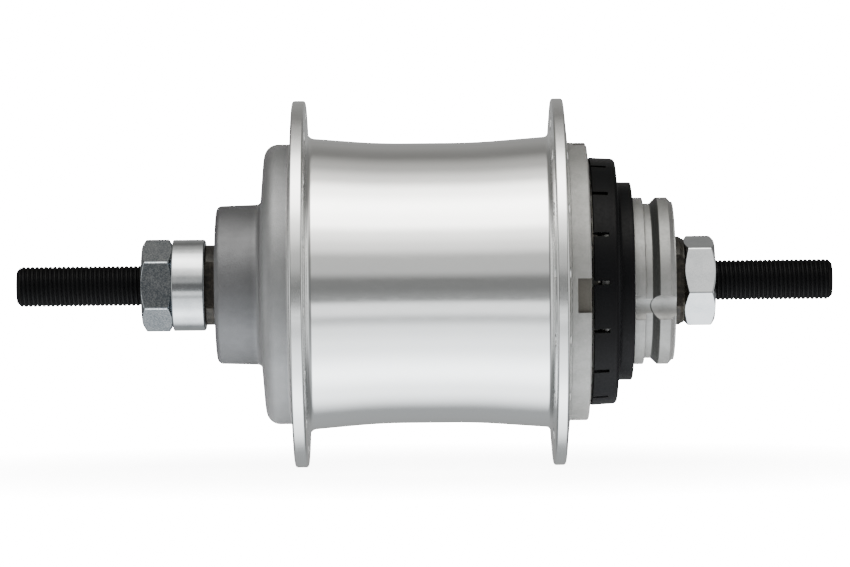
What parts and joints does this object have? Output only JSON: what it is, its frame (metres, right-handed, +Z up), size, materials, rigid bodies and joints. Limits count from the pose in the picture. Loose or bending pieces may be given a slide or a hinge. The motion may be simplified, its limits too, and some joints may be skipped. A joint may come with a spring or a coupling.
{
  "type": "bicycle hub gear",
  "caption": "Rear hub with a planetary gear inside a polished shell: solid threaded axle, spoke flanges, ball ring, black dust cap and splined driver for a sprocket.",
  "frame": {"origin": "on the axle's centre line, midway between the outer faces of the two locknuts", "axes": "+X along the axle towards the sprocket side, +Z up, +Y forward as the hub sits in a bicycle"},
  "size_m": [0.1926, 0.0866, 0.0866],
  "materials": {
    "axle_steel": "black oxide, oiled",
    "hard_steel": "ground and hardened",
    "zinc_steel": "bright zinc plate",
    "black_steel": "black oxide",
    "shell_alloy": "barrel polished, end cover blasted",
    "satin_steel": "satin nickel",
    "black_plastic": "moulded black",
    "spring_steel": "drawn spring steel",
    "ball_steel": "polished bearing steel"
  },
  "bodies": {
    "axle": {"axle": "axle_steel", "sun_gear": "hard_steel", "locknut_left": "zinc_steel", "locknut_right": "zinc_steel", "spacer_left": "zinc_steel", "cone_left": "black_steel", "cone_right": "black_steel", "thrust_washer": "hard_steel", "circlip": "black_steel"},
    "shell": {"hub_shell": "shell_alloy", "ball_ring": "satin_steel", "left_bearing_cup": "hard_steel", "left_dust_cap": "zinc_steel", "left_ratchet_ring": "hard_steel"},
    "driver": {"driver": "satin_steel", "driver_dust_cap": "black_plastic", "cone_seal": "black_plastic", "planet_carrier": "hard_steel", "planet_pins": "hard_steel", "low_pawl_spring": "spring_steel"},
    "annulus": {"ring_gear": "hard_steel", "ring_pawl_spring": "spring_steel"},
    "planet_1": {"planet_gear_1": "hard_steel"},
    "planet_2": {"planet_gear_2": "hard_steel"},
    "planet_3": {"planet_gear_3": "hard_steel"},
    "planet_4": {"planet_gear_4": "hard_steel"},
    "low_pawl_1": {"low_pawl_1": "hard_steel"},
    "low_pawl_2": {"low_pawl_2": "hard_steel"},
    "ring_pawl_1": {"ring_pawl_1": "hard_steel"},
    "ring_pawl_2": {"ring_pawl_2": "hard_steel"},
    "shift": {"shift_ring": "hard_steel", "shift_spring": "spring_steel"},
    "left_bearing": {"left_balls": "ball_steel", "left_ball_cage": "spring_steel"},
    "main_bearing": {"main_balls": "ball_steel", "main_ball_cage": "spring_steel"},
    "driver_bearing": {"driver_balls": "ball_steel", "driver_ball_cage": "spring_steel"}
  },
  "joints": [
    {"name": "shell_spin", "type": "hinge", "parent": "axle", "child": "shell", "pos_m": [0, 0, 0], "axis": [-1, 0, 0], "continuous": true},
    {"name": "driver_spin", "type": "hinge", "parent": "axle", "child": "driver", "pos_m": [0, 0, 0], "axis": [-1, 0, 0], "continuous": true},
    {"name": "ring_gear_spin", "type": "hinge", "parent": "axle", "child": "annulus", "pos_m": [0, 0, 0], "axis": [-1, 0, 0], "continuous": true},
    {"name": "left_bearing_spin", "type": "hinge", "parent": "axle", "child": "left_bearing", "pos_m": [-0.043, 0, 0], "axis": [-1, 0, 0], "continuous": true},
    {"name": "main_bearing_spin", "type": "hinge", "parent": "axle", "child": "main_bearing", "pos_m": [0.0385, 0, 0], "axis": [-1, 0, 0], "continuous": true},
    {"name": "driver_bearing_spin", "type": "hinge", "parent": "axle", "child": "driver_bearing", "pos_m": [0.0532, 0, 0], "axis": [-1, 0, 0], "continuous": true},
    {"name": "planet_1_spin", "type": "hinge", "parent": "driver", "child": "planet_1", "pos_m": [0.0068, 0.0165, 0], "axis": [-1, 0, 0], "continuous": true},
    {"name": "planet_2_spin", "type": "hinge", "parent": "driver", "child": "planet_2", "pos_m": [0.0068, 0, 0.0165], "axis": [-1, 0, 0], "continuous": true},
    {"name": "planet_3_spin", "type": "hinge", "parent": "driver", "child": "planet_3", "pos_m": [0.0068, -0.0165, 0], "axis": [-1, 0, 0], "continuous": true},
    {"name": "planet_4_spin", "type": "hinge", "parent": "driver", "child": "planet_4", "pos_m": [0.0068, 0, -0.0165], "axis": [-1, 0, 0], "continuous": true},
    {"name": "low_pawl_1_lift", "type": "hinge", "parent": "driver", "child": "low_pawl_1", "pos_m": [-0.011, 0, 0.0206], "axis": [1, 0, 0], "range_deg": [0, 16]},
    {"name": "low_pawl_2_lift", "type": "hinge", "parent": "driver", "child": "low_pawl_2", "pos_m": [-0.011, 0, -0.0206], "axis": [1, 0, 0], "range_deg": [0, 16]},
    {"name": "shift_turn", "type": "hinge", "parent": "annulus", "child": "shift", "pos_m": [0.0298, 0, 0], "axis": [-1, 0, 0], "range_deg": [0, 12]},
    {"name": "ring_pawl_1_fold", "type": "hinge", "parent": "annulus", "child": "ring_pawl_1", "pos_m": [0.0255, 0, 0.0236], "axis": [-1, 0, 0], "range_deg": [0, 16]},
    {"name": "ring_pawl_2_fold", "type": "hinge", "parent": "annulus", "child": "ring_pawl_2", "pos_m": [0.0255, 0, -0.0236], "axis": [-1, 0, 0], "range_deg": [0, 16]}
  ],
  "couplings": [
    {"joint": "driver_spin", "follows": "shell_spin", "ratio": 0.72727},
    {"joint": "ring_gear_spin", "follows": "shell_spin", "ratio": 1},
    {"joint": "left_bearing_spin", "follows": "shell_spin", "ratio": 0.60205},
    {"joint": "main_bearing_spin", "follows": "shell_spin", "ratio": 0.87271},
    {"joint": "driver_bearing_spin", "follows": "shell_spin", "ratio": 0.41463},
    {"joint": "planet_1_spin", "follows": "shell_spin", "ratio": 0.87273},
    {"joint": "planet_2_spin", "follows": "shell_spin", "ratio": 0.87273},
    {"joint": "planet_3_spin", "follows": "shell_spin", "ratio": 0.87273},
    {"joint": "planet_4_spin", "follows": "shell_spin", "ratio": 0.87273},
    {"joint": "ring_pawl_1_fold", "follows": "shift_turn", "ratio": 1.3333},
    {"joint": "ring_pawl_2_fold", "follows": "shift_turn", "ratio": 1.3333}
  ]
}
